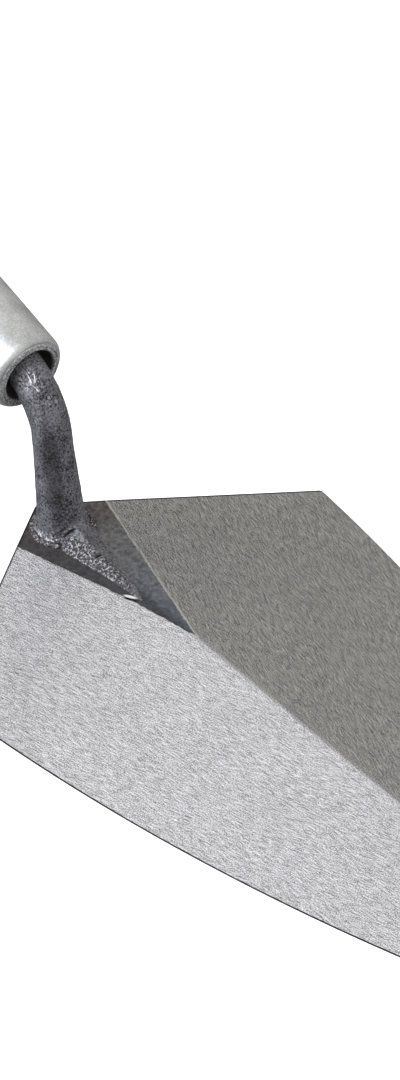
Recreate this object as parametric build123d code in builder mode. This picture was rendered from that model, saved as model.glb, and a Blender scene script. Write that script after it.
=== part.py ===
"""Brick trowel: a ground steel blade, a forged crank that carries it, and a turned wooden
handle in a spun ferrule. Millimetres, +X towards the blade's point, +Z up. The underside
of the blade is Z = 0, and the origin is there under the middle of the tool's length."""
import os
from math import atan2, cos, radians, sin, sqrt, tan

from build123d import *

os.makedirs("parts", exist_ok=True)

# Blade outline
blade_length = 279.4          # heel point to tip
blade_width = 139.7           # across the shoulders
heel_depth = 48.3             # heel point to the line across the shoulders
shoulder_angle = 5.1          # degrees by which a side already turns in at its shoulder
tip_radius = 5.5
shoulder_radius = 1.2
heel_radius = 2.0

# Blade thickness: a flat unground land at the heel, and two ground facets that fall away
land_thickness = 2.2
shoulder_thickness = 0.9
land_length = 71.5            # heel point to the end of the land, where the ridge begins
land_half_width = 16.5        # where a border of the land meets the heel edge

# Shank: foot, neck, bend and tang in one forging
foot_radius = 8.8
shaft_radius = 7.1            # just above the flare of the foot
flare_height = 8.0
neck_radius = 5.9             # at the top of the neck and round the bend
neck_length = 33.5            # from the land to the start of the bend, along the neck
neck_lean = 6.4               # degrees back from upright
bend_radius = 21.1
tang_rise = 5.4               # degrees above level, going back
tang_length = 88.0
tang_end_radius = 2.8

# Tongue: a keel on the blade's middle line, in front of the foot. Each section is given by
# its distance ahead of the foot's middle, its half width and its height over the land.
tongue_root = (0.0, 7.8, 7.6)
tongue_middle = (17.0, 4.1, 3.2)
tongue_point = (40.0, 0.4, 0.3)

# Weld round the foot
weld_leg = 1.2
weld_margin = 0.4             # bare steel left between the weld and the heel edge
weld_slope = 0.9              # the bead's width that slopes, as a share of its leg

# Ferrule, measured along the handle's axis from its mouth
ferrule_length = 40.0
ferrule_wall = 1.3
ferrule_taper = 5.9           # degrees between its side and its axis
mouth_clearance = 2.7         # from the neck's radius to the opening's
mouth_lip = 3.5               # from the opening to where the side would meet the mouth's plane
mouth_roll = 3.0              # outside radius of the rolled edge

# Handle
handle_rise = 6.5             # degrees above level, going back
handle_length = 150.0         # from the ferrule's mouth to the butt
mouth_drop = 2.5              # the neck's middle line under the tang's, where it enters the mouth
tang_offset = 1.7             # the tang's height over the handle's axis at the end of the bend
wood_recess = 14.0            # from the mouth in to the wood
grip_step = 0.2               # the wood stands proud of the ferrule by this much
front_swell_radius = 17.3
front_swell_setback = 22.0    # behind the ferrule
waist_radius = 15.3           # midway between the swells
rear_swell_radius = 17.0
rear_swell_setback = 17.0     # forward of the butt
butt_radius = 16.2
butt_dome_radius = 30.0
butt_edge_radius = 5.0


def heading(angle):
    """Unit direction in the tool's middle plane, by its angle from +X towards +Z."""
    return Vector(cos(radians(angle)), 0, sin(radians(angle)))


def turning_plane(start, angle):
    """Plane through the middle of the tool whose own Y runs along a turned piece's axis,
    and whose own X is the piece's radius."""
    return Plane(start, x_dir=heading(angle - 90), z_dir=(0, -1, 0))


# Places in the middle plane, first measured from the heel point
neck_angle = 90 + neck_lean
tang_angle = 180 - tang_rise
handle_angle = 180 - handle_rise
heel_half_angle = atan2(blade_width / 2, heel_depth)
foot_setback = (foot_radius + weld_leg + weld_margin) / sin(heel_half_angle)

foot_from_heel = Vector(foot_setback, 0, land_thickness)
bend_start = foot_from_heel + heading(neck_angle) * neck_length
bend_centre = bend_start + heading(neck_angle + 90) * bend_radius
bend_end = bend_centre + heading(tang_angle - 90) * bend_radius
mouth_lead = sqrt(2 * bend_radius * mouth_drop - mouth_drop**2)   # bend's end to the mouth
axis_beside_bend_end = bend_end - heading(handle_angle - 90) * tang_offset
mouth_from_heel = axis_beside_bend_end - heading(handle_angle) * mouth_lead
dome_from_heel = mouth_from_heel + heading(handle_angle) * (handle_length - butt_dome_radius)

# The origin lies midway between the butt and the tip
reach_behind_heel = butt_dome_radius - dome_from_heel.X
heel_x = (reach_behind_heel - blade_length) / 2
tip_x = heel_x + blade_length
to_frame = Vector(heel_x, 0, 0)
foot = foot_from_heel + to_frame
neck_top = bend_start + to_frame
bend_axis = Axis(bend_centre + to_frame, (0, -1, 0))
tang_start = bend_end + to_frame
mouth = mouth_from_heel + to_frame

# Each side of the blade is an arc from its shoulder that runs smoothly into the round tip
shoulder = Vector(heel_x + heel_depth, blade_width / 2)
tip_centre = Vector(tip_x - tip_radius, 0)
inward = Vector(-sin(radians(shoulder_angle)), -cos(radians(shoulder_angle)))
to_shoulder = shoulder - tip_centre
side_radius = (to_shoulder.length**2 - tip_radius**2) / (
    -2 * (tip_radius + inward.dot(to_shoulder))
)
side_centre = shoulder + inward * side_radius
side_end = side_centre + (tip_centre - side_centre).normalized() * side_radius

# A facet passes through the ridge's start, the land's corner and the shoulder
ridge_start = Vector(heel_x + land_length, 0, land_thickness)
land_corner_x = heel_x + heel_depth * land_half_width / (blade_width / 2)
land_corner = Vector(land_corner_x, land_half_width, land_thickness)
facet_edge = Vector(shoulder.X, shoulder.Y, shoulder_thickness)
facet_normal = (land_corner - facet_edge).cross(ridge_start - facet_edge).normalized()
if facet_normal.Z < 0:
    facet_normal = -facet_normal

with BuildPart() as blade:
    with BuildSketch():
        with BuildLine():
            Line((heel_x, 0), shoulder)
            RadiusArc(shoulder, side_end, side_radius)
            RadiusArc(side_end, (tip_x, 0), tip_radius)
            mirror(about=Plane.XZ)
        make_face()
        corners = vertices().filter_by(lambda v: v.X < shoulder.X + 1)
        fillet(corners.sort_by(Axis.X)[0], radius=heel_radius)
        fillet(corners.sort_by(Axis.X)[1:], radius=shoulder_radius)
    extrude(amount=land_thickness)
    for side in (1, -1):
        normal = (facet_normal.X, facet_normal.Y * side, facet_normal.Z)
        split(bisect_by=Plane(ridge_start, z_dir=normal), keep=Keep.BOTTOM)
blade.part.label = "blade"
export_step(blade.part, "parts/blade.step")

tongue_sections = (tongue_root, tongue_middle, tongue_point)

with BuildPart() as shank:
    with BuildSketch(turning_plane(foot, neck_angle)):
        with BuildLine():
            below = -foot_radius * sin(radians(neck_lean)) - 1
            Line((0, neck_length), (0, below))
            Line((0, below), (foot_radius, below))
            Line((foot_radius, below), (foot_radius, 0))
            Spline(
                (foot_radius, 0),
                (shaft_radius, flare_height),
                (neck_radius, neck_length),
                tangents=((-0.5, 1), (0, 1)),
            )
            Line((neck_radius, neck_length), (0, neck_length))
        make_face()
    revolve(axis=Axis(foot, heading(neck_angle)))
    split(bisect_by=Plane.XY.offset(land_thickness), keep=Keep.TOP)
    with BuildSketch(Plane(neck_top, x_dir=(0, 1, 0), z_dir=heading(neck_angle))):
        Circle(neck_radius)
    revolve(axis=bend_axis, revolution_arc=tang_angle - neck_angle)
    with BuildSketch(turning_plane(tang_start, tang_angle)):
        with BuildLine():
            Polyline(
                (0, 0),
                (neck_radius, 0),
                (tang_end_radius, tang_length - tang_end_radius),
                (0, tang_length),
                close=True,
            )
        make_face()
    revolve(axis=Axis(tang_start, heading(tang_angle)))
    for ahead, half_width, height in tongue_sections:
        with BuildSketch(Plane.YZ.offset(foot.X + ahead)):
            Polygon(
                (-half_width, land_thickness),
                (0, land_thickness + height),
                (half_width, land_thickness),
                align=None,
            )
    loft(ruled=True)
shank.part.label = "shank"
export_step(shank.part, "parts/shank.step")

# Weld metal in the corner between the foot and the land
with BuildPart() as foot_weld:
    with BuildSketch(Plane(foot)):
        Circle(foot_radius + weld_leg)
        with BuildLine():
            Polyline(*[(ahead, half + weld_leg) for ahead, half, height in tongue_sections])
            mirror(about=Plane.XZ)
            Line(*vertices().group_by(Axis.X)[0])
            Line(*vertices().group_by(Axis.X)[-1])
        make_face()
    extrude(amount=weld_leg)
    chamfer(faces().sort_by(Axis.Z)[-1].edges(), length=weld_leg * weld_slope)
    add(shank.part, mode=Mode.SUBTRACT)
foot_weld.part.label = "foot_weld"
export_step(foot_weld.part, "parts/foot_weld.step")


mouth_radius = neck_radius + mouth_clearance
corner_radius = mouth_radius + mouth_lip
wall_across = ferrule_wall / cos(radians(ferrule_taper))   # the wall, measured across the axis
handle_line = Axis(mouth, heading(handle_angle))
handle_plane = turning_plane(mouth, handle_angle)


def ferrule_radius(along):
    """Outside radius of the ferrule at a distance from its mouth."""
    return corner_radius + along * tan(radians(ferrule_taper))


def socket_radius(along):
    """Inside radius of the ferrule's side at a distance from its mouth."""
    return ferrule_radius(along) - wall_across


with BuildPart() as ferrule:
    back_radius = ferrule_radius(ferrule_length)
    with BuildSketch(handle_plane):
        with BuildLine():
            FilletPolyline(
                (mouth_radius, 0),
                (corner_radius, 0),
                (back_radius, ferrule_length),
                radius=mouth_roll,
            )
            Line((back_radius, ferrule_length), (socket_radius(ferrule_length), ferrule_length))
            FilletPolyline(
                (socket_radius(ferrule_length), ferrule_length),
                (socket_radius(ferrule_wall), ferrule_wall),
                (mouth_radius, ferrule_wall),
                radius=mouth_roll - ferrule_wall,
            )
            Line((mouth_radius, ferrule_wall), (mouth_radius, 0))
        make_face()
    revolve(axis=handle_line)
ferrule.part.label = "ferrule"
export_step(ferrule.part, "parts/ferrule.step")

with BuildPart() as handle:
    grip_start = ferrule_radius(ferrule_length) + grip_step
    front_swell_at = ferrule_length + front_swell_setback
    rear_swell_at = handle_length - rear_swell_setback
    waist_at = (front_swell_at + rear_swell_at) / 2
    dome_edge = handle_length - butt_dome_radius + sqrt(butt_dome_radius**2 - butt_radius**2)
    with BuildSketch(handle_plane):
        with BuildLine():
            Polyline(
                (0, wood_recess),
                (socket_radius(wood_recess), wood_recess),
                (socket_radius(ferrule_length), ferrule_length),
                (grip_start, ferrule_length),
            )
            Spline(
                (grip_start, ferrule_length),
                (front_swell_radius, front_swell_at),
                (waist_radius, waist_at),
                (rear_swell_radius, rear_swell_at),
                (butt_radius, dome_edge),
            )
            RadiusArc((butt_radius, dome_edge), (0, handle_length), -butt_dome_radius)
            Line((0, handle_length), (0, wood_recess))
        make_face()
        butt_corner = vertices().sort_by_distance((butt_radius, dome_edge))[0]
        fillet(butt_corner, radius=butt_edge_radius)
    revolve(axis=handle_line)
    add(shank.part, mode=Mode.SUBTRACT)
handle.part.label = "handle"
export_step(handle.part, "parts/handle.step")
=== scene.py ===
"""Brick trowel, dressed round its CAD frame: belt-ground blade, forged crank, plated ferrule
and turned wooden handle. Shapes are worked out in millimetres and turned to metres when a
piece is made. +X runs towards the blade's point, +Z up, and the blade lies on Z = 0."""

from math import asin, atan2, cos, exp, hypot, pi, radians, sin, sqrt, tan

import bmesh
import bpy
from mathutils import Matrix, Vector, noise


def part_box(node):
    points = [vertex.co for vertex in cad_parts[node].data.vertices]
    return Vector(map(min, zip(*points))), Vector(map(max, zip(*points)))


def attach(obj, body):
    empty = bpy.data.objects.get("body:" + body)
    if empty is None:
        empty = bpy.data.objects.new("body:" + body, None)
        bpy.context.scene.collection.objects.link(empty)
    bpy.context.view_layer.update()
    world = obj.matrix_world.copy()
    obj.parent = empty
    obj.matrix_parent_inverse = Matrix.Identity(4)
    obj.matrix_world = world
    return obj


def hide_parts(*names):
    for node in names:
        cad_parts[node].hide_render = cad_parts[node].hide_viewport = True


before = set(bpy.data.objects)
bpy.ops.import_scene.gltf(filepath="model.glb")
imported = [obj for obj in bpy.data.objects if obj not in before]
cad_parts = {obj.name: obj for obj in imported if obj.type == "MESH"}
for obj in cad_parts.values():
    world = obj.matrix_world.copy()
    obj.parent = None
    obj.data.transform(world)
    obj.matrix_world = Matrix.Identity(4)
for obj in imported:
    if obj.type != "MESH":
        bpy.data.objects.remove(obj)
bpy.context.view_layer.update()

MM = 0.001
X_AXIS, Y_AXIS, Z_AXIS = Vector((1, 0, 0)), Vector((0, 1, 0)), Vector((0, 0, 1))

# ---------------------------------------------------------------- sizes, as the CAD has them
blade_low, blade_high = (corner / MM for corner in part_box("blade"))
tip_x = blade_high.x
blade_half_width = blade_high.y
land_thickness = blade_high.z
heel_depth = 48.3
heel_radius = 2.0
shoulder_radius = 1.2
shoulder_thickness = 0.9
shoulder_angle = radians(5.1)
tip_radius = 5.5
land_length = 71.5
land_half_width = 16.5

foot_radius = 8.8
shaft_radius = 7.1
neck_radius = 5.9
neck_length = 33.5
neck_lean = radians(6.4)
bend_radius = 21.1
tang_rise = radians(5.4)
tang_length = 88.0
tang_end_radius = 2.8
weld_leg = 1.2
weld_margin = 0.4

handle_rise = radians(6.5)
handle_length = 150.0
mouth_drop = 2.5
tang_offset = 1.7
mouth_clearance = 2.7
mouth_lip = 3.5
mouth_roll = 3.0
ferrule_length = 40.0
ferrule_wall = 1.3
ferrule_taper = radians(5.9)
wood_recess = 14.0
grip_step = 0.2
front_swell_radius = 17.3
front_swell_setback = 22.0
waist_radius = 15.3
rear_swell_radius = 17.0
rear_swell_setback = 17.0
butt_radius = 16.2
butt_dome_radius = 30.0


def heading(angle):
    """Unit direction in the middle plane, by its angle from +X towards +Z."""
    return Vector((cos(angle), 0, sin(angle)))


# ---------------------------------------------------------------- places
heel_half_angle = atan2(blade_half_width, heel_depth)
heel_x = blade_low.x - heel_radius * (1 / sin(heel_half_angle) - 1)
foot_setback = (foot_radius + weld_leg + weld_margin) / sin(heel_half_angle)
foot = Vector((heel_x + foot_setback, 0, land_thickness))
neck_way = heading(pi / 2 + neck_lean)
tang_way = heading(pi - tang_rise)
handle_way = heading(pi - handle_rise)
neck_top = foot + neck_way * neck_length
bend_centre = neck_top + heading(pi + neck_lean) * bend_radius
bend_end = bend_centre + heading(pi / 2 - tang_rise) * bend_radius
mouth_lead = sqrt(2 * bend_radius * mouth_drop - mouth_drop**2)
mouth = bend_end - heading(pi / 2 - handle_rise) * tang_offset - handle_way * mouth_lead
mouth_radius = neck_radius + mouth_clearance
corner_radius = mouth_radius + mouth_lip
dome_edge = handle_length - butt_dome_radius + sqrt(butt_dome_radius**2 - butt_radius**2)
ridge_start_x = heel_x + land_length
land_corner = Vector((heel_x + heel_depth * land_half_width / blade_half_width, land_half_width))
land_slant = atan2(land_half_width, ridge_start_x - land_corner.x)

# Turns a shape drawn about +Z onto the handle's axis, with its bottom at the ferrule's mouth
on_handle = Matrix.Translation(mouth) @ Matrix(
    (heading(pi / 2 - handle_rise), Y_AXIS, handle_way)
).transposed().to_4x4()


# ---------------------------------------------------------------- mesh helpers
def make_piece(bm, name, materials, node, smooth=True):
    """Turns a mesh in millimetres into a finished piece that stands for a CAD node."""
    bmesh.ops.scale(bm, vec=(MM,) * 3, verts=bm.verts)
    mesh = bpy.data.meshes.new(name)
    bm.to_mesh(mesh)
    bm.free()
    mesh.polygons.foreach_set("use_smooth", [smooth] * len(mesh.polygons))
    piece = bpy.data.objects.new(name, mesh)
    bpy.context.collection.objects.link(piece)
    for material in materials:
        mesh.materials.append(material)
    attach(piece, "root")
    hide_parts(node)
    return piece


def fuse(bm, voxel, smoothing=2):
    """Joins overlapping closed shapes into one even skin, and softens its corners."""
    mesh = bpy.data.meshes.new("fusing")
    bm.to_mesh(mesh)
    bm.free()
    holder = bpy.data.objects.new("fusing", mesh)
    bpy.context.collection.objects.link(holder)
    remesh = holder.modifiers.new("skin", "REMESH")
    remesh.mode = "VOXEL"
    remesh.voxel_size = voxel
    view = bpy.context.evaluated_depsgraph_get()
    skin = bpy.data.meshes.new_from_object(holder.evaluated_get(view))
    fused = bmesh.new()
    fused.from_mesh(skin)
    bpy.data.objects.remove(holder)
    bpy.data.meshes.remove(mesh)
    bpy.data.meshes.remove(skin)
    for _ in range(smoothing):
        bmesh.ops.smooth_vert(
            fused, verts=fused.verts, factor=0.5,
            use_axis_x=True, use_axis_y=True, use_axis_z=True,
        )
    fused.normal_update()
    return fused


def shift_along_normals(bm, amount):
    """Moves each vertex along its normal by what amount(vertex) gives, in millimetres."""
    moves = [(vert, vert.normal * amount(vert)) for vert in bm.verts]
    for vert, move in moves:
        vert.co += move
    bm.normal_update()


def smoothstep(low, high, value):
    """Goes from 0 to 1, level at both ends, as a value goes from low to high."""
    share = min(1, max(0, (value - low) / (high - low)))
    return share * share * (3 - 2 * share)


def arc(centre, radius, start, end, count):
    """Points (radius, along) of a round stretch of an outline."""
    return [
        (centre[0] + radius * cos(angle), centre[1] + radius * sin(angle))
        for angle in (start + (end - start) * step / count for step in range(count + 1))
    ]


def lathe(outline, closed, steps):
    """Spins an outline of (radius, along) pairs about +Z."""
    bm = bmesh.new()
    verts = [bm.verts.new((radius, 0, along)) for radius, along in outline]
    edges = [bm.edges.new(pair) for pair in zip(verts, verts[1:])]
    if closed:
        edges.append(bm.edges.new((verts[-1], verts[0])))
    bmesh.ops.spin(
        bm, geom=verts + edges, cent=(0, 0, 0), axis=Z_AXIS, dvec=(0, 0, 0),
        angle=2 * pi, steps=steps, use_merge=True,
    )
    bmesh.ops.remove_doubles(bm, verts=bm.verts, dist=0.001)
    bmesh.ops.recalc_face_normals(bm, faces=bm.faces)
    return bm


def bevel(bm, geom, offset, segments, affect="EDGES"):
    """Rounds edges or corners, starting at an offset from each."""
    bmesh.ops.bevel(
        bm, geom=geom, offset=offset, offset_type="OFFSET", segments=segments,
        profile=0.5, affect=affect, material=-1, clamp_overlap=True,
    )


# ---------------------------------------------------------------- material helpers
def colour(code):
    """The linear colour that a shader takes, from an sRGB hex code."""
    channels = [int(code[place : place + 2], 16) / 255 for place in (0, 2, 4)]
    linear = [c / 12.92 if c <= 0.04045 else ((c + 0.055) / 1.055) ** 2.4 for c in channels]
    return (*linear, 1)


def socket(sockets, key):
    """The socket with a name or number, among those that the node shows."""
    shown = [one for one in sockets if one.enabled]
    return shown[key] if isinstance(key, int) else next(one for one in shown if one.name == key)


def add(tree, kind, inputs=None, **settings):
    """Adds a node. inputs gives a socket, by name or number, a value, or the node or the
    output that feeds it; settings are the node's own."""
    node = tree.nodes.new("ShaderNode" + kind)
    for name, value in settings.items():
        setattr(node, name, value)
    for key, value in (inputs or {}).items():
        if isinstance(value, bpy.types.Node):
            value = socket(value.outputs, 0)
        if isinstance(value, bpy.types.NodeSocket):
            tree.links.new(value, socket(node.inputs, key))
        else:
            socket(node.inputs, key).default_value = value
    return node


def start_material(name):
    """A new material's empty tree, and the output that gives a place on the piece."""
    material = bpy.data.materials.new(name)
    material.use_nodes = True
    material.node_tree.nodes.clear()
    return material, material.node_tree, add(material.node_tree, "TexCoord").outputs["Object"]


def finish_material(tree, **inputs):
    """Ends a tree in a Principled shader; an underscore in a name stands for a space."""
    named = {name.replace("_", " "): value for name, value in inputs.items()}
    shader = add(tree, "BsdfPrincipled", named)
    add(tree, "OutputMaterial", {"Surface": shader})


# ---------------------------------------------------------------- materials
stroke_angle = radians(14)    # between a grinding stroke and the blade's middle line
ridge_blend = 1.6             # the strokes turn over this far each side of the ridge
facet_shift = 20              # moves each facet's noise, or one would mirror the other
border_overrun = 1.5          # the land's border reaches this far past the ridge's start
raggedness = 0.9              # of the land's border, at most
burr_way = Vector((0.87, 0.49, 0))    # of the burr on the land's border


def spot(tree, place, centre, reach, way, most):
    """A soft-edged spot with its middle and reach in millimetres, drawn out along a way."""
    turn = Vector(way).to_track_quat("X", "Z").to_euler()
    near = add(
        tree, "Mapping",
        {"Vector": place, "Location": centre * MM, "Rotation": turn,
         "Scale": [one * MM for one in reach]},
        vector_type="TEXTURE",
    )
    distance = add(tree, "VectorMath", {0: near}, operation="LENGTH").outputs["Value"]
    return add(
        tree, "MapRange",
        {"Value": distance, "From Min": 1.1, "From Max": 0.6, "To Max": most},
    )


def ground_steel():
    """High-carbon steel, ground on a belt and left bare, with forging scale on the land.
    Fine strokes slant in to the middle line from both sides, so one facet catches the light
    that the other misses; the land is dark, dull and bluish."""
    material, tree, place = start_material("belt_ground_carbon_steel")
    split = add(tree, "SeparateXYZ", {0: place})
    along, aside = split.outputs[0], split.outputs[1]
    out = add(tree, "Math", {0: aside}, operation="ABSOLUTE")
    side = add(
        tree, "MapRange",
        {"Value": aside, "From Min": -ridge_blend * MM, "From Max": ridge_blend * MM,
         "To Min": -1.0, "To Max": 1.0},
        interpolation_type="SMOOTHSTEP",
    )
    parted = add(
        tree, "Math", {0: side, 1: facet_shift * MM, 2: along}, operation="MULTIPLY_ADD"
    )
    wander = add(tree, "TexNoise", {"Vector": place, "Scale": 1 / (60 * MM), "Detail": 1.0})
    bowed = add(
        tree, "Math", {0: wander.outputs["Fac"], 1: 3 * MM, 2: out}, operation="MULTIPLY_ADD"
    )
    mirrored = add(tree, "CombineXYZ", {0: parted, 1: bowed})

    def strokes(length, width, shift):
        """Noise drawn out along the strokes, so long and so wide in millimetres. The shift
        picks another part of the noise."""
        turned = add(
            tree, "Mapping",
            {"Vector": mirrored, "Location": (shift, 0, 0),
             "Rotation": (0, 0, -stroke_angle), "Scale": (length * MM, width * MM, 1)},
            vector_type="TEXTURE",
        )
        # Turned off the noise's own grid, which would line up the ends of the strokes
        tilted = add(tree, "Mapping", {"Vector": turned, "Rotation": (0, 0, 0.6)})
        drawn = add(
            tree, "TexNoise", {"Vector": tilted, "Scale": 1.0, "Detail": 0.0},
            noise_dimensions="2D",
        )
        return drawn.outputs["Fac"]

    fine = strokes(3, 0.12, 0)
    broad = strokes(16, 0.2, 3)
    deep = strokes(5, 0.12, 7)
    nick = strokes(3, 0.12, 11)
    cloud = add(
        tree, "TexNoise", {"Vector": place, "Scale": 1 / (22 * MM), "Detail": 3.0}
    ).outputs["Fac"]
    pit = add(
        tree, "TexNoise", {"Vector": place, "Scale": 1 / (0.33 * MM), "Detail": 0.0},
        noise_dimensions="2D",
    ).outputs["Fac"]
    fine_tone = add(
        tree, "MapRange", {"Value": fine, "From Min": 0.36, "From Max": 0.64, "To Max": 0.5}
    )
    broad_tone = add(
        tree, "MapRange", {"Value": broad, "From Min": 0.3, "From Max": 0.7, "To Max": 0.1}
    )
    cloud_tone = add(
        tree, "MapRange", {"Value": cloud, "From Min": 0.3, "From Max": 0.7, "To Max": 0.06}
    )
    pit_tone = add(
        tree, "MapRange",
        {"Value": pit, "From Min": 0.3, "From Max": 0.7, "To Min": -0.26, "To Max": 0.46},
    )
    tone = fine_tone
    for more in (broad_tone, cloud_tone, pit_tone):
        tone = add(tree, "Math", {0: tone, 1: more}, operation="ADD")
    steel = add(
        tree, "Mix", {"Factor": tone, "A": colour("5c5d5f"), "B": colour("f3f4f7")},
        data_type="RGBA",
    )
    bright = add(
        tree, "MapRange", {"Value": deep, "From Min": 0.7, "From Max": 0.78, "To Max": 0.8}
    )
    steel = add(
        tree, "Mix", {"Factor": bright, "A": steel, "B": colour("f4f3f6")}, data_type="RGBA"
    )
    dark = add(
        tree, "MapRange", {"Value": nick, "From Min": 0.2, "From Max": 0.16, "To Max": 0.5}
    )
    steel = add(
        tree, "Mix", {"Factor": dark, "A": steel, "B": colour("5a595c")}, data_type="RGBA"
    )

    # How far a place lies outside the land's border; grinding has eaten further into one side
    flat = add(tree, "CombineXYZ", {0: along, 1: out})
    across = add(
        tree, "VectorMath", {0: flat, 1: (sin(land_slant), cos(land_slant), 0)},
        operation="DOT_PRODUCT",
    ).outputs["Value"]
    eaten = add(
        tree, "MapRange",
        {"Value": side, "From Min": -1.0, "From Max": 1.0, "To Min": 1.0, "To Max": 0.0},
    )
    fading = add(
        tree, "MapRange",
        {"Value": along, "From Min": (ridge_start_x - 20) * MM, "From Max": ridge_start_x * MM,
         "To Min": 1.3 * MM, "To Max": -0.3 * MM},
    )
    eaten = add(tree, "Math", {0: eaten, 1: fading}, operation="MULTIPLY")
    across = add(tree, "Math", {0: across, 1: eaten}, operation="ADD")
    ragged = add(
        tree, "TexNoise", {"Vector": place, "Scale": 1 / (1.6 * MM), "Detail": 2.0}
    ).outputs["Fac"]
    across = add(
        tree, "Math", {0: ragged, 1: raggedness * MM, 2: across}, operation="MULTIPLY_ADD"
    )
    border = (ridge_start_x + border_overrun) * MM * sin(land_slant) + raggedness / 2 * MM
    on_land = add(
        tree, "MapRange",
        {"Value": across, "From Min": border + 0.08 * MM, "From Max": border - 0.08 * MM},
    )
    mottle = add(
        tree, "TexNoise",
        {"Vector": place, "Scale": 1 / (1.3 * MM), "Detail": 4.0, "Roughness": 0.7},
    ).outputs["Fac"]
    # The scale runs from warm at the heel to bluish towards the ridge. It is lighter at the heel,
    # painted light that lifts the shade the neck casts there
    toward_tip = add(
        tree, "MapRange",
        {"Value": along, "From Min": (heel_x + 15) * MM, "From Max": ridge_start_x * MM},
    )
    scale_tint = add(
        tree, "Mix", {"Factor": toward_tip, "A": colour("868483"), "B": colour("6f7a84")},
        data_type="RGBA",
    )
    scale_dark = add(
        tree, "Mix", {"Factor": toward_tip, "A": colour("525052"), "B": colour("484e59")},
        data_type="RGBA",
    )
    mottled = add(tree, "MapRange", {"Value": mottle, "From Min": 0.35, "From Max": 0.65})
    scale = add(
        tree, "Mix", {"Factor": mottled, "A": scale_dark, "B": scale_tint}, data_type="RGBA"
    )
    # The land's scale is made darker towards its -Y side
    darkening = add(
        tree, "MapRange",
        {"Value": side, "From Min": -1.0, "From Max": 1.0, "To Min": 0.6, "To Max": 0.0},
    )
    scale = add(
        tree, "Mix", {"Factor": darkening, "A": scale, "B": colour("262428")}, data_type="RGBA"
    )
    surface = add(tree, "Mix", {"Factor": on_land, "A": steel, "B": scale}, data_type="RGBA")

    # Painted shade: a dark strip just inside the heel's edges, where the edges also carry a burr
    inside = add(
        tree, "VectorMath", {0: flat, 1: (sin(heel_half_angle), -cos(heel_half_angle), 0)},
        operation="DOT_PRODUCT",
    ).outputs["Value"]
    heel_line = heel_x * MM * sin(heel_half_angle)
    heel_edge_shade = add(
        tree, "MapRange",
        {"Value": inside, "From Min": heel_line + 0.7 * MM, "From Max": heel_line + 0.4 * MM,
         "To Max": 0.85},
    )
    surface = add(
        tree, "Mix", {"Factor": heel_edge_shade, "A": surface, "B": colour("1c1c1e")}, data_type="RGBA"
    )

    # Painted highlight: a thin bright line where the grinding meets the land. Then a burr that it
    # turned up there, drawn as painted highlight and painted shadow
    outside = add(tree, "Math", {0: across, 1: border + 0.25 * MM}, operation="SUBTRACT")
    outside = add(tree, "Math", {0: outside}, operation="ABSOLUTE")
    one_sided = add(
        tree, "MapRange",
        {"Value": side, "From Min": -1.0, "From Max": 1.0, "To Min": 0.0, "To Max": 0.5},
    )
    glint = add(
        tree, "MapRange",
        {"Value": outside, "From Min": 0.4 * MM, "From Max": 0.2 * MM, "To Max": one_sided},
    )
    surface = add(
        tree, "Mix", {"Factor": glint, "A": surface, "B": colour("fffefa")}, data_type="RGBA"
    )
    # The burr has no shape of its own: a white painted highlight beside a near-black painted
    # shadow
    for offset, reach, tint in (
        ((37.2, -4.8, 0), (2.4, 0.6, 2), "0c0c0e"), ((36.4, -4.1, 0), (2.3, 0.6, 2), "ffffff"),
    ):
        burr_highlight_and_shadow = spot(tree, place, foot + Vector(offset), reach, burr_way, 1.0)
        surface = add(
            tree, "Mix", {"Factor": burr_highlight_and_shadow, "A": surface, "B": colour(tint)}, data_type="RGBA"
        )

    metal = add(tree, "MapRange", {"Value": on_land, "To Min": 1.0, "To Max": 0.2})
    satin = add(
        tree, "MapRange",
        {"Value": fine, "From Min": 0.3, "From Max": 0.7, "To Min": 0.48, "To Max": 0.42},
    )
    gloss = add(tree, "Mix", {"Factor": on_land, "A": satin, "B": 0.6}, data_type="FLOAT")
    relief = add(tree, "Mix", {"Factor": on_land, "A": fine, "B": mottle}, data_type="FLOAT")
    bump = add(tree, "Bump", {"Height": relief, "Strength": 0.12, "Distance": 0.05 * MM})
    lean = add(tree, "Mix", {"Factor": on_land, "A": side, "B": 1.0}, data_type="FLOAT")
    across_way = add(tree, "Math", {0: lean, 1: sin(stroke_angle)}, operation="MULTIPLY")
    tangent = add(tree, "CombineXYZ", {0: across_way, 1: cos(stroke_angle)})
    finish_material(
        tree, Base_Color=surface, Metallic=metal, Roughness=gloss, Normal=bump,
        Anisotropic=0.95, Tangent=tangent,
    )
    return material


def sheared_steel():
    """The blade's edge as the shears left it: dull, torn and nearly black."""
    material, tree, place = start_material("sheared_carbon_steel")
    tearing = add(
        tree, "Mapping", {"Vector": place, "Scale": (0.3 * MM, 0.3 * MM, 3 * MM)},
        vector_type="TEXTURE",
    )
    torn = add(tree, "TexNoise", {"Vector": tearing, "Scale": 1.0, "Detail": 3.0})
    surface = add(
        tree, "Mix", {"Factor": torn.outputs["Fac"], "A": colour("0c0c0e"), "B": colour("262628")},
        data_type="RGBA",
    )
    bump = add(tree, "Bump", {"Height": torn.outputs["Fac"], "Distance": 0.1 * MM})
    finish_material(tree, Base_Color=surface, Metallic=0.3, Roughness=0.6, Normal=bump)
    return material


def forged_steel(name, light, dark):
    """Starts a dark, fine-grained forged steel. Gives the material, its tree, the output for
    a place, the grain and the surface's colour."""
    material, tree, place = start_material(name)
    grain = add(
        tree, "TexNoise",
        {"Vector": place, "Scale": 1 / (0.65 * MM), "Detail": 3.0, "Roughness": 0.75},
    ).outputs["Fac"]
    patch = add(
        tree, "TexNoise", {"Vector": place, "Scale": 1 / (6 * MM), "Detail": 3.0}
    ).outputs["Fac"]
    mixed = add(tree, "Math", {0: patch, 1: 0.25, 2: grain}, operation="MULTIPLY_ADD")
    tone = add(tree, "MapRange", {"Value": mixed, "From Min": 0.5, "From Max": 0.76})
    surface = add(
        tree, "Mix", {"Factor": tone, "A": colour(dark), "B": colour(light)}, data_type="RGBA"
    )
    return material, tree, place, grain, surface


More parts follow.
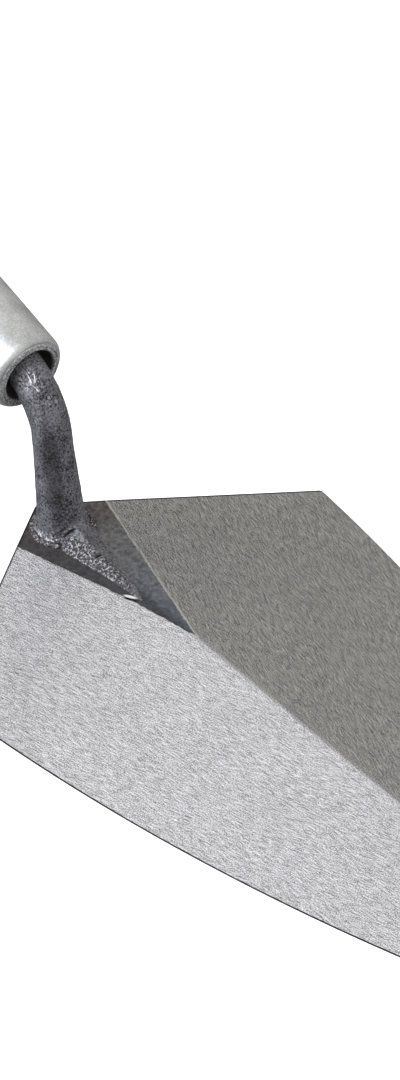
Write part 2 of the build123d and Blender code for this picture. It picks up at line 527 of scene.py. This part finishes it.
def shank_steel():
    """Drop-forged steel under its bluish oxide scale, worn to bright metal where it was
    struck or rubbed. Spots go by their middle from the foot, reach, way and strength."""
    material, tree, place, grain, surface = forged_steel("forging_scale", "9c9da8", "161619")
    tongue_face = (19, -3.9, 1.6), (21, 4, 7), (1, 0.1, 0)
    # Painted shade darkens one face of the tongue and the neck's front
    for offset, reach, way, most in (
        (*tongue_face, 0.75),
        ((2.6, -4.6, 26.0), (22, 3.0, 5.0), neck_way, 0.55),
    ):
        darkening = spot(tree, place, foot + Vector(offset), reach, way, most)
        surface = add(
            tree, "Mix", {"Factor": darkening, "A": surface, "B": colour("18181b")},
            data_type="RGBA",
        )

    # Spots rubbed bright, where specks of bare metal show
    rubbed = None
    for offset, reach, way, most in (
        ((-8.6, -3.2, 51.5), (4.5, 3, 4.5), X_AXIS, 0.7),
        ((-2.6, -0.6, 46.0), (2.5, 2.2, 3), X_AXIS, 0.5),
        ((-3.7, -5.4, 40.5), (2.2, 1.5, 8), X_AXIS, 0.3),
        ((3.0, -7.6, 0.8), (7, 3, 2.2), X_AXIS, 0.9),
        (*tongue_face, 0.65),
    ):
        worn = spot(tree, place, foot + Vector(offset), reach, way, most)
        rubbed = worn if rubbed is None else add(
            tree, "Math", {0: rubbed, 1: worn}, operation="MAXIMUM"
        )
    speck = add(
        tree, "TexNoise",
        {"Vector": place, "Scale": 1 / (0.7 * MM), "Detail": 3.0, "Roughness": 0.8},
    ).outputs["Fac"]
    specks = add(tree, "MapRange", {"Value": speck, "From Min": 0.52, "From Max": 0.6})
    bare = add(tree, "Math", {0: rubbed, 1: specks}, operation="MULTIPLY")

    # Bright scratches at the bend, then painted shade in the creases of the tongue
    for offset, reach, way in (
        ((-9.5, -3.4, 51.9), (2.2, 1.5, 0.24), (0.8, 0, -0.6)),
        ((-7.2, -3.4, 50.0), (2.2, 1.5, 0.22), (0.8, 0, -0.5)),
        ((-8.4, -1.8, 51.8), (1.8, 1.5, 0.22), (0.6, 0.1, -0.7)),
    ):
        scratch = spot(tree, place, foot + Vector(offset), reach, way, 1.0)
        bare = add(tree, "Math", {0: bare, 1: scratch}, operation="MAXIMUM")
    surface = add(
        tree, "Mix", {"Factor": bare, "A": surface, "B": colour("f4f6fc")}, data_type="RGBA"
    )
    for offset, reach, way in (
        ((6.8, -2.7, 3.5), (3.0, 0.9, 0.9), (0.39, 0.62, 0.68)),
        ((18.9, -1.6, 2.1), (1.4, 0.55, 1.0), (0.3, 1, 0)),
    ):
        crease = spot(tree, place, foot + Vector(offset), reach, way, 1.0)
        surface = add(
            tree, "Mix", {"Factor": crease, "A": surface, "B": colour("0e0e10")},
            data_type="RGBA",
        )
    metal = add(tree, "MapRange", {"Value": bare, "To Min": 0.35, "To Max": 1.0})
    gloss = add(tree, "MapRange", {"Value": grain, "To Min": 0.36, "To Max": 0.62})
    bump = add(tree, "Bump", {"Height": grain, "Strength": 1.0, "Distance": 0.35 * MM})
    finish_material(tree, Base_Color=surface, Metallic=metal, Roughness=gloss, Normal=bump)
    return material


def weld_steel():
    """Weld metal: dark, with bright spatter."""
    material, tree, place, grain, surface = forged_steel("weld_bead_steel", "7c7c82", "262528")
    spatter = add(tree, "MapRange", {"Value": grain, "From Min": 0.56, "From Max": 0.62})
    surface = add(
        tree, "Mix", {"Factor": spatter, "A": surface, "B": colour("e2e3e8")}, data_type="RGBA"
    )
    gloss = add(tree, "MapRange", {"Value": grain, "To Min": 0.4, "To Max": 0.6})
    bump = add(tree, "Bump", {"Height": grain, "Strength": 1.0, "Distance": 0.3 * MM})
    finish_material(tree, Base_Color=surface, Metallic=0.7, Roughness=gloss, Normal=bump)
    return material


def plated_steel():
    """Zinc plate on spun mild steel: satin and greyish white, with a fine grain and faint
    rings from the spinning. The lip round the mouth is scuffed."""
    ring_spacing = 0.5
    material, tree, place = start_material("zinc_plated_steel")
    grain = add(
        tree, "TexNoise",
        {"Vector": place, "Scale": 1 / (0.6 * MM), "Detail": 3.0, "Roughness": 0.6},
    ).outputs["Fac"]
    cloud = add(
        tree, "TexNoise", {"Vector": place, "Scale": 1 / (9 * MM), "Detail": 2.0}
    ).outputs["Fac"]
    spun = add(
        tree, "Mapping",
        {"Vector": place, "Location": mouth * MM, "Rotation": on_handle.to_euler(),
         "Scale": (1, 1, ring_spacing * MM)},
        vector_type="TEXTURE",
    )
    rings = add(tree, "TexNoise", {"Vector": spun, "Scale": 1.0, "Detail": 2.0}).outputs["Fac"]
    mixed = add(tree, "Math", {0: grain, 1: cloud}, operation="ADD")
    tone = add(tree, "MapRange", {"Value": mixed, "From Min": 0.8, "From Max": 1.2})
    surface = add(
        tree, "Mix", {"Factor": tone, "A": colour("d2d7da"), "B": colour("f8fdff")},
        data_type="RGBA",
    )
    from_mouth = add(tree, "SeparateXYZ", {0: spun}).outputs[2]
    on_lip = add(
        tree, "MapRange",
        {"Value": from_mouth, "From Min": 0.55 / ring_spacing, "From Max": 0.35 / ring_spacing},
    )
    scuff = add(tree, "MapRange", {"Value": grain, "From Min": 0.4, "From Max": 0.62})
    scuffed = add(
        tree, "Mix", {"Factor": scuff, "A": colour("6c7174"), "B": colour("e0e4e8")},
        data_type="RGBA",
    )
    surface = add(tree, "Mix", {"Factor": on_lip, "A": surface, "B": scuffed}, data_type="RGBA")
    gloss = add(tree, "MapRange", {"Value": grain, "To Min": 0.46, "To Max": 0.58})
    relief = add(tree, "Math", {0: grain, 1: rings}, operation="ADD")
    bump = add(tree, "Bump", {"Height": relief, "Strength": 0.15, "Distance": 0.05 * MM})
    metal = add(tree, "MapRange", {"Value": on_lip, "To Min": 1.0, "To Max": 0.3})
    finish_material(tree, Base_Color=surface, Metallic=metal, Roughness=gloss, Normal=bump)
    return material


def bare_inside():
    """The ferrule's inside, which the plating bath hardly reaches: dull and dark."""
    material, tree, place = start_material("unplated_steel")
    stain = add(
        tree, "TexNoise", {"Vector": place, "Scale": 1 / (3 * MM), "Detail": 4.0}
    ).outputs["Fac"]
    surface = add(
        tree, "Mix", {"Factor": stain, "A": colour("8c888c"), "B": colour("b0acb0")},
        data_type="RGBA",
    )
    finish_material(tree, Base_Color=surface, Metallic=0.4, Roughness=0.7)
    return material


def lacquered_beech():
    """Steamed beech, turned and dipped in clear lacquer: warm tan, with soft growth rings and
    short dark flecks, under an even gloss."""
    ring_spacing = 2.6
    material, tree, place = start_material("lacquered_beech")
    in_grain = add(
        tree, "Mapping",
        {"Vector": place, "Location": mouth * MM, "Rotation": on_handle.to_euler()},
        vector_type="TEXTURE",
    )
    bend = add(tree, "TexNoise", {"Vector": in_grain, "Scale": 1 / (45 * MM), "Detail": 2.0})
    bent = add(
        tree, "VectorMath", {0: bend.outputs["Color"], 1: (6 * MM, 6 * MM, 0), 2: in_grain},
        operation="MULTIPLY_ADD",
    )
    off_pith = add(
        tree, "Mapping",
        {"Vector": bent, "Location": (-34 * MM, 11 * MM, 0), "Scale": (1, 1, 30)},
        vector_type="TEXTURE",
    )
    # A wave's rings lie pi / 10 apart at scale 1
    rings = add(
        tree, "TexWave",
        {"Vector": off_pith, "Scale": pi / (10 * ring_spacing * MM), "Distortion": 1.2,
         "Detail": 2.0},
        wave_type="RINGS", rings_direction="Z", wave_profile="SAW",
    )
    fibre_space = add(
        tree, "Mapping", {"Vector": bent, "Scale": (0.5 * MM, 0.5 * MM, 14 * MM)},
        vector_type="TEXTURE",
    )
    fibres = add(tree, "TexNoise", {"Vector": fibre_space, "Scale": 1.0, "Detail": 3.0})
    fleck_space = add(
        tree, "Mapping", {"Vector": bent, "Scale": (0.45 * MM, 0.45 * MM, 2.4 * MM)},
        vector_type="TEXTURE",
    )
    flecks = add(
        tree, "TexVoronoi", {"Vector": fleck_space, "Scale": 1.0, "Randomness": 1.0}
    ).outputs["Distance"]
    early = add(
        tree, "Mix",
        {"Factor": fibres.outputs["Fac"], "A": colour("b98551"), "B": colour("dcb080")},
        data_type="RGBA",
    )
    late = add(tree, "MapRange", {"Value": rings.outputs["Fac"], "From Min": 0.5, "To Max": 0.35})
    wood = add(
        tree, "Mix", {"Factor": late, "A": early, "B": colour("96602f")}, data_type="RGBA"
    )
    specks = add(
        tree, "MapRange", {"Value": flecks, "From Min": 0.24, "From Max": 0.14, "To Max": 0.5}
    )
    wood = add(
        tree, "Mix", {"Factor": specks, "A": wood, "B": colour("6d4020")}, data_type="RGBA"
    )
    gloss = add(
        tree, "MapRange", {"Value": fibres.outputs["Fac"], "To Min": 0.3, "To Max": 0.5}
    )
    bump = add(
        tree, "Bump", {"Height": fibres.outputs["Fac"], "Strength": 0.2, "Distance": 0.08 * MM}
    )
    finish_material(
        tree, Base_Color=wood, Roughness=gloss, Normal=bump, IOR=1.5,
        Coat_Weight=0.6, Coat_Roughness=0.12,
    )
    return material


# ---------------------------------------------------------------- pieces
def facet_height(x, y):
    """The blade's top over a place: the flat land, or the facet where that lies lower."""
    ridge_to_corner = Vector((ridge_start_x - land_corner.x, -land_half_width, 0))
    ridge_to_shoulder = Vector(
        (ridge_start_x - heel_x - heel_depth, -blade_half_width,
         land_thickness - shoulder_thickness)
    )
    normal = ridge_to_corner.cross(ridge_to_shoulder)
    drop = (normal.x * (x - ridge_start_x) + normal.y * abs(y)) / normal.z
    return min(land_thickness, land_thickness - drop)


def make_blade():
    """The outline with its corners rounded, cut along the land's borders and then raised."""
    same = 0.01               # places nearer than this are one place
    low_crest = 1.0           # the whole crest lies higher than this
    shoulder_cut = 0.58 * shoulder_radius     # from a shoulder's corner to where its round starts
    shoulder = Vector((heel_x + heel_depth, blade_half_width, 0))
    tip_centre = Vector((tip_x - tip_radius, 0, 0))
    inward = Vector((-sin(shoulder_angle), -cos(shoulder_angle), 0))
    to_shoulder = shoulder - tip_centre
    side_radius = (to_shoulder.length_squared - tip_radius**2) / (
        -2 * (tip_radius + inward.dot(to_shoulder))
    )
    side_centre = shoulder + inward * side_radius
    to_tip = (tip_centre - side_centre).normalized()
    side_turn = -inward.angle(-to_tip)
    tip_turn = -atan2(to_tip.y, to_tip.x)

    bm = bmesh.new()
    start = bm.verts.new(shoulder)
    heel = bm.verts.new((heel_x, 0, 0))
    bm.edges.new((start, heel))
    end = start
    for centre, turn, steps in ((side_centre, side_turn, 48), (tip_centre, tip_turn, 10)):
        turned = bmesh.ops.spin(
            bm, geom=[end], cent=centre, axis=Z_AXIS, dvec=(0, 0, 0), angle=turn, steps=steps
        )
        end = next(one for one in turned["geom_last"] if isinstance(one, bmesh.types.BMVert))
    bmesh.ops.mirror(
        bm, geom=bm.verts[:] + bm.edges[:], axis="Y", merge_dist=0.001, matrix=Matrix()
    )
    bmesh.ops.remove_doubles(bm, verts=bm.verts, dist=0.001)
    bmesh.ops.contextual_create(bm, geom=bm.edges)
    heel_point = [v for v in bm.verts if (v.co - Vector((heel_x, 0, 0))).length < same]
    bevel(bm, heel_point, heel_radius / tan(heel_half_angle), 6, "VERTICES")
    shoulders = [v for v in bm.verts if abs(abs(v.co.y) - blade_half_width) < same]
    bevel(bm, shoulders, shoulder_cut, 4, "VERTICES")

    # Cut the top along the land's borders and the ridge, then set its heights
    ridge = Vector((ridge_start_x, 0, 0))
    cuts = [(Y_AXIS, ridge)]
    for hand in (1, -1):
        cuts.append((Vector((sin(land_slant), hand * cos(land_slant), 0)), ridge))
    for normal, point in cuts:
        bmesh.ops.bisect_plane(
            bm, geom=bm.verts[:] + bm.edges[:] + bm.faces[:], dist=0.001,
            plane_co=point, plane_no=normal,
        )
    bmesh.ops.recalc_face_normals(bm, faces=bm.faces)
    raised = bmesh.ops.extrude_face_region(bm, geom=bm.faces[:], use_keep_orig=True)["geom"]
    for vert in (one for one in raised if isinstance(one, bmesh.types.BMVert)):
        vert.co.z = facet_height(vert.co.x, vert.co.y)
    bmesh.ops.recalc_face_normals(bm, faces=bm.faces)

    # Grinding blends the facets over the ridge
    crest = [
        edge for edge in bm.edges
        if all(abs(v.co.y) < same and v.co.x > ridge_start_x - same
               and v.co.z > low_crest for v in edge.verts)
    ]
    bevel(bm, crest, ridge_blend, 4)
    bmesh.ops.remove_doubles(bm, verts=bm.verts, dist=0.0005)
    bm.normal_update()
    for face in bm.faces:
        face.material_index = int(abs(face.normal.z) < 0.6)
    return make_piece(
        bm, "blade_ground", (ground_steel(), sheared_steel()), "blade",
        smooth=False,
    )


foot_spill = 0.8              # the foot's flare runs out this far past the foot's radius
flare_fall = 1.5              # the height in which the flare falls off to about a third
sunk = 0.6                    # how far a forged piece reaches down into the land


def neck_profile(along):
    """The neck's radius: a slow taper on which the foot flares out at the bottom."""
    taper = (shaft_radius - neck_radius) * (1 - smoothstep(0, neck_length, along))
    flare = (foot_radius + foot_spill - shaft_radius) * exp(-max(0, along) / flare_fall)
    return neck_radius + taper + flare


def grow(bm, face, step, widen):
    """Draws an end face out by a step and scales it about its own middle."""
    drawn = bmesh.ops.extrude_discrete_faces(bm, faces=[face])["faces"][0]
    bmesh.ops.translate(bm, verts=drawn.verts, vec=step)
    middle = drawn.calc_center_median()
    bmesh.ops.scale(
        bm, verts=drawn.verts, vec=(widen,) * 3, space=Matrix.Translation(-middle)
    )
    return drawn


# The tongue's sections: ahead of the foot's middle, left and right edge, crest and height
tongue_sections = (
    (0.0, -7.8, 7.8, -0.5, 8.0),
    (7.5, -7.0, 6.6, -0.8, 5.9),
    (12.0, -6.4, 5.2, -1.0, 4.6),
    (15.0, -6.0, 4.4, -1.0, 3.7),
    (18.0, -5.6, 3.7, -1.0, 2.8),
    (22.0, -4.9, 2.9, -1.1, 2.0),
    (27.0, -4.1, 1.9, -1.3, 1.4),
    (34.0, -3.4, 0.2, -1.7, 0.8),
    (40.0, -3.1, -2.1, -2.6, 0.3),
)


def tongue_top(ahead, aside):
    """Height of the tongue over the land at a place."""
    for before, after in zip(tongue_sections, tongue_sections[1:]):
        if before[0] <= ahead <= after[0]:
            share = (ahead - before[0]) / (after[0] - before[0])
            _, left, right, crest, height = (
                a + (b - a) * share for a, b in zip(before, after)
            )
            reach = (aside - crest) / ((left if aside < crest else right) - crest)
            return height * (1 - reach)
    return 0.0


# Gouges in the shank: middle, from the foot, then way, length, width and depth
gouges = (
    (Vector((-9.8, -3.3, 52.0)), Vector((0.75, 0.1, -0.65)).normalized(), 6.0, 0.4, 0.35),
    (Vector((-7.6, -3.6, 50.4)), Vector((0.6, 0.45, -0.6)).normalized(), 4.5, 0.4, 0.35),
    (Vector((-8.6, -2.2, 52.0)), Vector((0.8, -0.3, -0.5)).normalized(), 4.0, 0.35, 0.3),
    (Vector((-2.6, -0.6, 46.2)), Vector((0.2, 0.9, -0.3)).normalized(), 2.6, 0.6, 0.25),
    (Vector((18.9, -1.3, 2.4)), Vector((0.3, 1.0, 0.0)).normalized(), 2.4, 0.45, 0.6),
    (Vector((6.9, -2.7, 3.8)), Vector((0.39, 0.62, 0.68)).normalized(), 4.6, 0.4, 0.9),
)


def make_shank():
    """The foot, neck, bend and tang drawn out in one, fused with the tongue and then marked."""
    bm = bmesh.new()
    base = bmesh.ops.create_circle(
        bm, cap_ends=True, segments=40, radius=foot_radius,
        matrix=Matrix.Translation(foot - Vector((0, 0, sunk))),
    )
    end = base["verts"][0].link_faces[0]
    if end.normal.z < 0:
        end.normal_flip()
    heights = [0.0, 0.8, 1.6, 2.6, 4.0, 6.0, 8.5, 12.0, 16.0, 20.0, 24.0, 28.0, neck_length]
    before, radius = -sunk, foot_radius
    for height in heights:
        end = grow(bm, end, neck_way * (height - before), neck_profile(height) / radius)
        before, radius = height, neck_profile(height)
    bmesh.ops.rotate(
        bm, verts=end.verts, cent=neck_top, matrix=Matrix.Rotation(-neck_lean, 3, "Y")
    )
    turned = bmesh.ops.spin(
        bm, geom=[end], cent=bend_centre, axis=-Y_AXIS, dvec=(0, 0, 0),
        angle=pi / 2 - tang_rise - neck_lean, steps=20,
    )
    end = next(one for one in turned["geom_last"] if isinstance(one, bmesh.types.BMFace))
    grow(bm, end, tang_way * tang_length, tang_end_radius / neck_radius)

    # The tongue starts as a triangle inside the foot and is drawn out section by section
    made = bmesh.ops.create_circle(bm, cap_ends=True, segments=5, radius=1.0)
    corners = made["verts"]
    end = corners[0].link_faces[0]
    for number, (ahead, left, right, crest, height) in enumerate(tongue_sections):
        if number:
            end = bmesh.ops.extrude_discrete_faces(bm, faces=[end])["faces"][0]
            corners = end.verts
        section = (left, -sunk), (right, -sunk), (right, 0), (crest, height), (left, 0)
        for vert, (y, z) in zip(corners, section):
            vert.co = foot + Vector((ahead, y, z))
    bmesh.ops.holes_fill(bm, edges=bm.edges)
    bmesh.ops.recalc_face_normals(bm, faces=bm.faces)
    bm = fuse(bm, voxel=0.34)

    def marks(vert):
        """How far the skin stands out here: hammering, scale, the crease beside the foot
        and the gouges with their turned-up edges."""
        place = vert.co
        away = place - foot
        height = away.dot(neck_way)
        off_neck = (away - neck_way * height).length - neck_profile(height)
        hammered = 0.10 * noise.noise(place / 5.0) + 0.05 * noise.noise(place / 1.7)
        scaled = 0.03 * noise.noise(place / 0.8)
        crease = 0.0
        if away.x > 4 and away.y < 1:
            off_tongue = away.z - tongue_top(away.x, away.y)
            crease = -0.6 * exp(-(off_neck / 0.5) ** 2 - (off_tongue / 1.2) ** 2)
        cuts = 0.0
        for at, way, length, width, depth in gouges:
            along = (away - at).dot(way)
            aside = (away - at - way * along).length / width
            ends = exp(-(2 * along / length) ** 4)
            cuts += depth * ends * (0.5 * exp(-((aside - 1.8) ** 2)) - exp(-(aside**2)))
        return hammered + scaled + crease + cuts

    shift_along_normals(bm, marks)
    return make_piece(bm, "crank", (shank_steel(),), "shank")


def make_weld():
    """A bead laid round the back and sides of the foot, drop by drop."""
    bead_middle = foot_radius - 0.1
    drops_each_way, degrees_apart = 60, 2.2
    route = []
    for step in range(-drops_each_way, drops_each_way + 1):
        angle = pi + radians(step * degrees_apart)
        route.append(Vector((bead_middle * cos(angle), bead_middle * sin(angle), 0)))
    bm = bmesh.new()
    for number, place in enumerate(route):
        size = 1.1 + 0.35 * noise.noise(Vector((number * 0.37, 0, 0)))
        sway = 0.5 * noise.noise(Vector((0, number * 0.53, 4)))
        bmesh.ops.create_icosphere(
            bm, subdivisions=2, radius=size,
            matrix=Matrix.Translation(foot + place * (1 + sway / foot_radius)
                                      + Vector((0, 0, -0.1))),
        )
    bm = fuse(bm, voxel=0.2)
    shift_along_normals(bm, lambda vert: 0.2 * noise.noise(vert.co / 0.7))
    return make_piece(bm, "foot_bead", (weld_steel(),), "foot_weld")


def ferrule_radius(along):
    """The ferrule's outside radius at a distance from its mouth."""
    return corner_radius + along * tan(ferrule_taper)


def socket_radius(along):
    """The ferrule's inside radius at a distance from its mouth."""
    return ferrule_radius(along) - ferrule_wall / cos(ferrule_taper)


def make_ferrule():
    """A spun tube whose rolled mouth has a groove round it."""
    roll_middle = (corner_radius + mouth_roll * tan(ferrule_taper)
                   - mouth_roll / cos(ferrule_taper), mouth_roll)
    lip = ferrule_wall / 2
    groove_depth = 0.5
    # The lip, a dip beside it, the roll with its groove, the side, and back along the inside
    outline = [
        *arc((mouth_radius + lip, lip), lip, -pi, -pi / 3, 6),
        (mouth_radius + ferrule_wall, 0.32),
        *arc(roll_middle, mouth_roll, radians(-80), radians(-66), 3),
        *arc(roll_middle, mouth_roll - groove_depth, radians(-62), radians(-60), 1),
        *arc(roll_middle, mouth_roll, radians(-55), -ferrule_taper, 9),
        (ferrule_radius(ferrule_length / 2), ferrule_length / 2),
        (ferrule_radius(ferrule_length) - 0.15, ferrule_length - 0.35),
        (ferrule_radius(ferrule_length) - 0.5, ferrule_length),
        (socket_radius(ferrule_length), ferrule_length),
        *arc(roll_middle, mouth_roll - ferrule_wall, -ferrule_taper, -pi / 2, 6),
        *arc((mouth_radius + lip, lip), lip, pi / 2, pi, 5)[:-1],
    ]
    bm = lathe(outline, closed=True, steps=128)
    for face in bm.faces:
        middle = face.calc_center_median()
        outward = face.normal.x * middle.x + face.normal.y * middle.y
        face.material_index = int(outward < 0 and middle.z > ferrule_wall)
    bmesh.ops.transform(bm, matrix=on_handle, verts=bm.verts)
    return make_piece(
        bm, "plated_ferrule", (plated_steel(), bare_inside()), "ferrule"
    )


def grip_radius(along):
    """The grip's outside: two swells with a waist between them."""
    front = ferrule_length + front_swell_setback
    rear = handle_length - rear_swell_setback
    keys = (
        (ferrule_length, ferrule_radius(ferrule_length) + grip_step),
        (front, front_swell_radius), ((front + rear) / 2, waist_radius),
        (rear, rear_swell_radius), (dome_edge, butt_radius),
    )
    for (start, low), (end, high) in zip(keys, keys[1:]):
        if along <= end:
            return low + (high - low) * smoothstep(start, end, along)
    return butt_radius


def make_handle():
    """The turned grip, bored for the tang, with its front end in the ferrule."""
    bore = neck_radius + tang_offset + 0.4    # wide enough for the tang, which lies off its axis
    bore_depth = mouth_lead + tang_length + 0.5
    wood_gap = 0.05           # between wood and ferrule
    front_round = 0.4         # on the grip's edge behind the ferrule
    steps = 60
    grip = [
        ferrule_length + (dome_edge - ferrule_length) * step / steps for step in range(steps + 1)
    ]
    outline = [
        (0, bore_depth), (tang_end_radius + 1, bore_depth), (bore, wood_recess),
        (socket_radius(wood_recess) - wood_gap, wood_recess),
        (socket_radius(ferrule_length) - wood_gap, ferrule_length),
        (grip_radius(ferrule_length) - front_round, ferrule_length),
        (grip_radius(ferrule_length), ferrule_length + front_round),
        *[(grip_radius(along), along) for along in grip[1:]],
        *arc((0, handle_length - butt_dome_radius), butt_dome_radius,
             pi / 2 - asin(butt_radius / butt_dome_radius), pi / 2, 14)[1:],
    ]
    bm = lathe(outline, closed=False, steps=96)
    butt_edge = [
        edge for edge in bm.edges
        if all(abs(v.co.z - dome_edge) < 0.01
               and abs(hypot(v.co.x, v.co.y) - butt_radius) < 0.05 for v in edge.verts)
    ]
    bevel(bm, butt_edge, 2.2, 6)
    bmesh.ops.transform(bm, matrix=on_handle, verts=bm.verts)
    return make_piece(bm, "turned_handle", (lacquered_beech(),), "handle")


# ---------------------------------------------------------------- studio
def make_sheet(name, height, tints, glow):
    """A wide round sheet of matt paper under the tool."""
    material, tree, place = start_material(name)
    fibre = add(
        tree, "TexNoise", {"Vector": place, "Scale": 1 / (2 * MM), "Detail": 2.0}
    ).outputs["Fac"]
    surface = add(
        tree, "Mix", {"Factor": fibre, "A": colour(tints[0]), "B": colour(tints[1])},
        data_type="RGBA",
    )
    finish_material(
        tree, Base_Color=surface, Roughness=0.9, Emission_Color=colour("ffffff"),
        Emission_Strength=glow,
    )
    bm = bmesh.new()
    bmesh.ops.create_circle(
        bm, cap_ends=True, segments=96, radius=12.0, matrix=Matrix.Translation((0, 0, height))
    )
    mesh = bpy.data.meshes.new(name)
    bm.to_mesh(mesh)
    bm.free()
    mesh.materials.append(material)
    sheet = bpy.data.objects.new(name, mesh)
    bpy.context.collection.objects.link(sheet)
    return sheet


def make_floor():
    """White paper for the eye, over grey paper that shades and mirrors in the metal."""
    white = make_sheet("white_paper", -0.4 * MM, ("f2f2f2", "f6f6f6"), 0.8)
    white.visible_diffuse = white.visible_glossy = white.visible_transmission = False
    white.visible_shadow = False
    grey = make_sheet("grey_paper", -0.8 * MM, ("888888", "909090"), 0.0)
    grey.visible_camera = False


def make_light(name, way, distance, size, power, tint):
    """A softbox, so wide and so high, that stands off in a direction and faces the tool."""
    light = bpy.data.lights.new(name, "AREA")
    light.shape = "RECTANGLE"
    light.size, light.size_y = size
    light.energy = power
    light.color = colour(tint)[:3]
    lamp = bpy.data.objects.new(name, light)
    lamp.location = way.normalized() * distance
    lamp.rotation_euler = way.to_track_quat("Z", "Y").to_euler()
    bpy.context.collection.objects.link(lamp)
    return lamp


def make_studio():
    """Paper, a softbox, two bright cards, and a room that is brighter overhead."""
    make_floor()
    make_light("key_softbox", Vector((-0.20, -0.68, 0.68)), 2.4, (0.9, 1.6), 31, "f8f8ff")
    make_light("low_card", Vector((-0.45, -0.87, 0.14)), 0.9, (0.5, 0.5), 2.2, "ffffff")
    far = make_light("far_card", Vector((0.65, 0.65, 0.25)), 0.9, (0.5, 0.5), 2.6, "ffffff")
    far.visible_glossy = False
    world = bpy.data.worlds.new("studio")
    world.use_nodes = True
    tree = world.node_tree
    way = add(tree, "TexCoord").outputs["Generated"]
    height = add(tree, "SeparateXYZ", {0: way}).outputs[2]
    glow = add(
        tree, "MapRange",
        {"Value": height, "From Min": 0.0, "From Max": 0.6, "To Min": 0.28, "To Max": 0.61},
    )
    sky = tree.nodes["Background"]
    sky.inputs["Color"].default_value = colour("fffaf2")
    tree.links.new(glow.outputs[0], sky.inputs["Strength"])
    bpy.context.scene.world = world
    bpy.context.scene.view_settings.view_transform = "Standard"


def make_camera():
    """A long lens that looks back and down at the heel, from the blade's right."""
    azimuth, elevation = radians(49.99), radians(41.836)
    aim = Vector((-22.857, 27.957, 0.9)) * MM
    distance = 1171.84 * MM
    back = Vector(
        (sin(azimuth) * cos(elevation), -cos(azimuth) * cos(elevation), sin(elevation))
    )
    lens = bpy.data.cameras.new("camera")
    lens.lens = 133.333
    lens.sensor_width = 36.0
    camera = bpy.data.objects.new("camera", lens)
    camera.location = aim + back * distance
    camera.rotation_euler = back.to_track_quat("Z", "Y").to_euler()
    bpy.context.collection.objects.link(camera)
    bpy.context.scene.camera = camera


make_camera()
make_studio()
make_blade()
make_shank()
make_weld()
make_ferrule()
make_handle()
